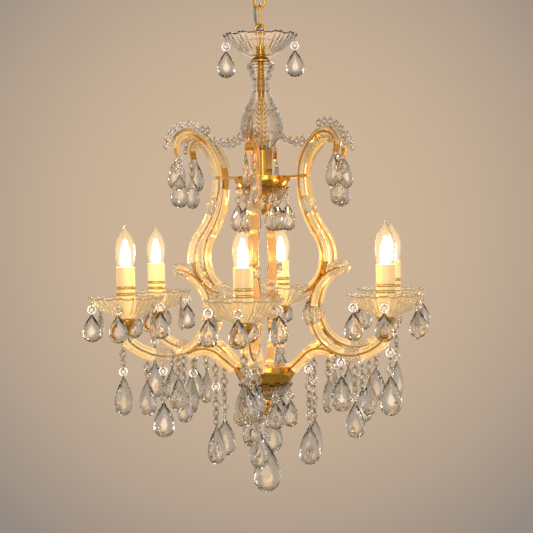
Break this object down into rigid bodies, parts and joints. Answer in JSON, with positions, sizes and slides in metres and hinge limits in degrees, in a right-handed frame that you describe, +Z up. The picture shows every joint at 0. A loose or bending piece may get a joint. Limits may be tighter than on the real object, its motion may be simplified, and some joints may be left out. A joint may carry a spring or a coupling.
{
  "type": "candelabra chandelier",
  "caption": "Crystal candelabra chandelier: scroll arms clad in glass strips form an open cage that carries candle lamps, glass dishes and strings of cut drops, hung on a short chain.",
  "frame": {"origin": "middle of the ceiling bracket's top face, on the ceiling plane and on the lamp's axis", "axes": "+Z up into the ceiling, -Y towards the viewer at the front, +X to the viewer's right"},
  "size_m": [0.5214, 0.5422, 0.8071],
  "materials": {
    "steel_bracket": "zinc-plated strip",
    "polished_brass": "polished and lacquered gold tone",
    "clear_flex": "clear PVC flex",
    "moulded_glass": "clear moulded glass, fire-polished",
    "cut_crystal": "clear cut crystal, polished facets",
    "ivory_plastic": "ivory, semi-gloss",
    "black_holder": "matt phenolic",
    "bulb_glass": "clear blown glass",
    "nickel_cap": "nickel-plated",
    "light_sticks": "warm white coating, lit"
  },
  "bodies": {
    "ceiling": {"ceiling_bracket": "steel_bracket", "ceiling_canopy": "polished_brass", "canopy_hook": "polished_brass"},
    "link_1": {"chain_link_1": "polished_brass"},
    "link_2": {"chain_link_2": "polished_brass"},
    "frame": {"arm_1": "polished_brass", "arm_2": "polished_brass", "arm_3": "polished_brass", "arm_4": "polished_brass", "arm_5": "polished_brass", "arm_6": "polished_brass", "arm_glass": "moulded_glass", "bead_swags": "cut_crystal", "bulb_caps": "nickel_cap", "bulb_envelopes": "bulb_glass", "bulb_filaments": "light_sticks", "candle_sleeves": "ivory_plastic", "dish_cap": "polished_brass", "drip_cups": "polished_brass", "hub_dishes": "moulded_glass", "hub_finials": "polished_brass", "lamp_holders": "black_holder", "lamp_wiring": "clear_flex", "lower_hub_bowl": "polished_brass", "rosettes": "moulded_glass", "stem_loop": "polished_brass", "stem_tube": "polished_brass", "supply_cable": "clear_flex", "top_dish": "moulded_glass", "upper_hub_bowl": "polished_brass", "vase": "moulded_glass"},
    "top_drops": {"dish_drops": "cut_crystal"},
    "centre": {"central_drop": "cut_crystal"},
    "hub_a": {"hub_strands_a": "cut_crystal"},
    "hub_b": {"hub_strands_b": "cut_crystal"},
    "hub_c": {"hub_strands_c": "cut_crystal"},
    "dish_1": {"bobeche_1": "moulded_glass", "bobeche_drops_1": "cut_crystal"},
    "strands_1": {"arm_strands_1": "cut_crystal"},
    "crook_1": {"crook_drops_1": "cut_crystal"},
    "dish_2": {"bobeche_2": "moulded_glass", "bobeche_drops_2": "cut_crystal"},
    "strands_2": {"arm_strands_2": "cut_crystal"},
    "crook_2": {"crook_drops_2": "cut_crystal"},
    "dish_3": {"bobeche_3": "moulded_glass", "bobeche_drops_3": "cut_crystal"},
    "strands_3": {"arm_strands_3": "cut_crystal"},
    "crook_3": {"crook_drops_3": "cut_crystal"},
    "dish_4": {"bobeche_4": "moulded_glass", "bobeche_drops_4": "cut_crystal"},
    "strands_4": {"arm_strands_4": "cut_crystal"},
    "crook_4": {"crook_drops_4": "cut_crystal"},
    "dish_5": {"bobeche_5": "moulded_glass", "bobeche_drops_5": "cut_crystal"},
    "strands_5": {"arm_strands_5": "cut_crystal"},
    "crook_5": {"crook_drops_5": "cut_crystal"},
    "dish_6": {"bobeche_6": "moulded_glass", "bobeche_drops_6": "cut_crystal"},
    "strands_6": {"arm_strands_6": "cut_crystal"},
    "crook_6": {"crook_drops_6": "cut_crystal"}
  },
  "joints": [
    {"name": "link_1_swing", "type": "hinge", "parent": "ceiling", "child": "link_1", "pos_m": [0, 0, -0.05055], "axis": [0, 1, 0], "range_deg": [-20, 20], "deforming": ["supply_cable"]},
    {"name": "link_2_swing", "type": "hinge", "parent": "link_1", "child": "link_2", "pos_m": [0, 0, -0.08025], "axis": [1, 0, 0], "range_deg": [-20, 20], "deforming": ["supply_cable"]},
    {"name": "frame_swing", "type": "hinge", "parent": "link_2", "child": "frame", "pos_m": [0, 0, -0.10995], "axis": [0, 1, 0], "range_deg": [-15, 15], "deforming": ["supply_cable"]},
    {"name": "top_drops_swing", "type": "hinge", "parent": "frame", "child": "top_drops", "pos_m": [0, 0, -0.12843], "axis": [1, 0, 0], "range_deg": [-20, 20]},
    {"name": "centre_swing", "type": "hinge", "parent": "frame", "child": "centre", "pos_m": [0, 0, -0.691], "axis": [1, 0, 0], "range_deg": [-20, 20]},
    {"name": "hub_a_swing", "type": "hinge", "parent": "frame", "child": "hub_a", "pos_m": [0.02662, -0.06396, -0.60581], "axis": [0.9232, 0.3843, 0], "range_deg": [-20, 10]},
    {"name": "hub_b_swing", "type": "hinge", "parent": "frame", "child": "hub_b", "pos_m": [0.04208, 0.05504, -0.60581], "axis": [-0.7944, 0.6074, 0], "range_deg": [-20, 10]},
    {"name": "hub_c_swing", "type": "hinge", "parent": "frame", "child": "hub_c", "pos_m": [-0.06871, 0.00892, -0.60581], "axis": [-0.1288, -0.9917, 0], "range_deg": [-20, 10]},
    {"name": "dish_1_turn", "type": "hinge", "parent": "frame", "child": "dish_1", "pos_m": [-0.02782, -0.2142, -0.53866], "axis": [0, 0, 1], "continuous": true},
    {"name": "strands_1_swing", "type": "hinge", "parent": "frame", "child": "strands_1", "pos_m": [-0.02081, -0.1602, -0.59641], "axis": [-0.1258, -0.9682, 0.2161], "range_deg": [-12, 12]},
    {"name": "crook_1_swing", "type": "hinge", "parent": "frame", "child": "crook_1", "pos_m": [-0.01717, -0.13221, -0.3013], "axis": [0.9917, -0.1288, 0], "range_deg": [-20, 15]},
    {"name": "dish_2_turn", "type": "hinge", "parent": "frame", "child": "dish_2", "pos_m": [0.17159, -0.13119, -0.53866], "axis": [0, 0, 1], "continuous": true},
    {"name": "strands_2_swing", "type": "hinge", "parent": "frame", "child": "strands_2", "pos_m": [0.12833, -0.09812, -0.59641], "axis": [0.7756, -0.593, 0.2161], "range_deg": [-12, 12]},
    {"name": "crook_2_swing", "type": "hinge", "parent": "frame", "child": "crook_2", "pos_m": [0.10591, -0.08098, -0.3013], "axis": [0.6074, 0.7944, 0], "range_deg": [-20, 15]},
    {"name": "dish_3_turn", "type": "hinge", "parent": "frame", "child": "dish_3", "pos_m": [0.19941, 0.08301, -0.53866], "axis": [0, 0, 1], "continuous": true},
    {"name": "strands_3_swing", "type": "hinge", "parent": "frame", "child": "strands_3", "pos_m": [0.14914, 0.06208, -0.59641], "axis": [0.9014, 0.3752, 0.2161], "range_deg": [-12, 12]},
    {"name": "crook_3_swing", "type": "hinge", "parent": "frame", "child": "crook_3", "pos_m": [0.12308, 0.05123, -0.3013], "axis": [-0.3843, 0.9232, 0], "range_deg": [-20, 15]},
    {"name": "dish_4_turn", "type": "hinge", "parent": "frame", "child": "dish_4", "pos_m": [0.02782, 0.2142, -0.53866], "axis": [0, 0, 1], "continuous": true},
    {"name": "strands_4_swing", "type": "hinge", "parent": "frame", "child": "strands_4", "pos_m": [0.02081, 0.1602, -0.59641], "axis": [0.1258, 0.9682, 0.2161], "range_deg": [-12, 12]},
    {"name": "crook_4_swing", "type": "hinge", "parent": "frame", "child": "crook_4", "pos_m": [0.01717, 0.13221, -0.3013], "axis": [-0.9917, 0.1288, 0], "range_deg": [-20, 15]},
    {"name": "dish_5_turn", "type": "hinge", "parent": "frame", "child": "dish_5", "pos_m": [-0.17159, 0.13119, -0.53866], "axis": [0, 0, 1], "continuous": true},
    {"name": "strands_5_swing", "type": "hinge", "parent": "frame", "child": "strands_5", "pos_m": [-0.12833, 0.09812, -0.59641], "axis": [-0.7756, 0.593, 0.2161], "range_deg": [-12, 12]},
    {"name": "crook_5_swing", "type": "hinge", "parent": "frame", "child": "crook_5", "pos_m": [-0.10591, 0.08098, -0.3013], "axis": [-0.6074, -0.7944, 0], "range_deg": [-20, 15]},
    {"name": "dish_6_turn", "type": "hinge", "parent": "frame", "child": "dish_6", "pos_m": [-0.19941, -0.08301, -0.53866], "axis": [0, 0, 1], "continuous": true},
    {"name": "strands_6_swing", "type": "hinge", "parent": "frame", "child": "strands_6", "pos_m": [-0.14914, -0.06208, -0.59641], "axis": [-0.9014, -0.3752, 0.2161], "range_deg": [-12, 12]},
    {"name": "crook_6_swing", "type": "hinge", "parent": "frame", "child": "crook_6", "pos_m": [-0.12308, -0.05123, -0.3013], "axis": [0.3843, -0.9232, 0], "range_deg": [-20, 15]}
  ]
}
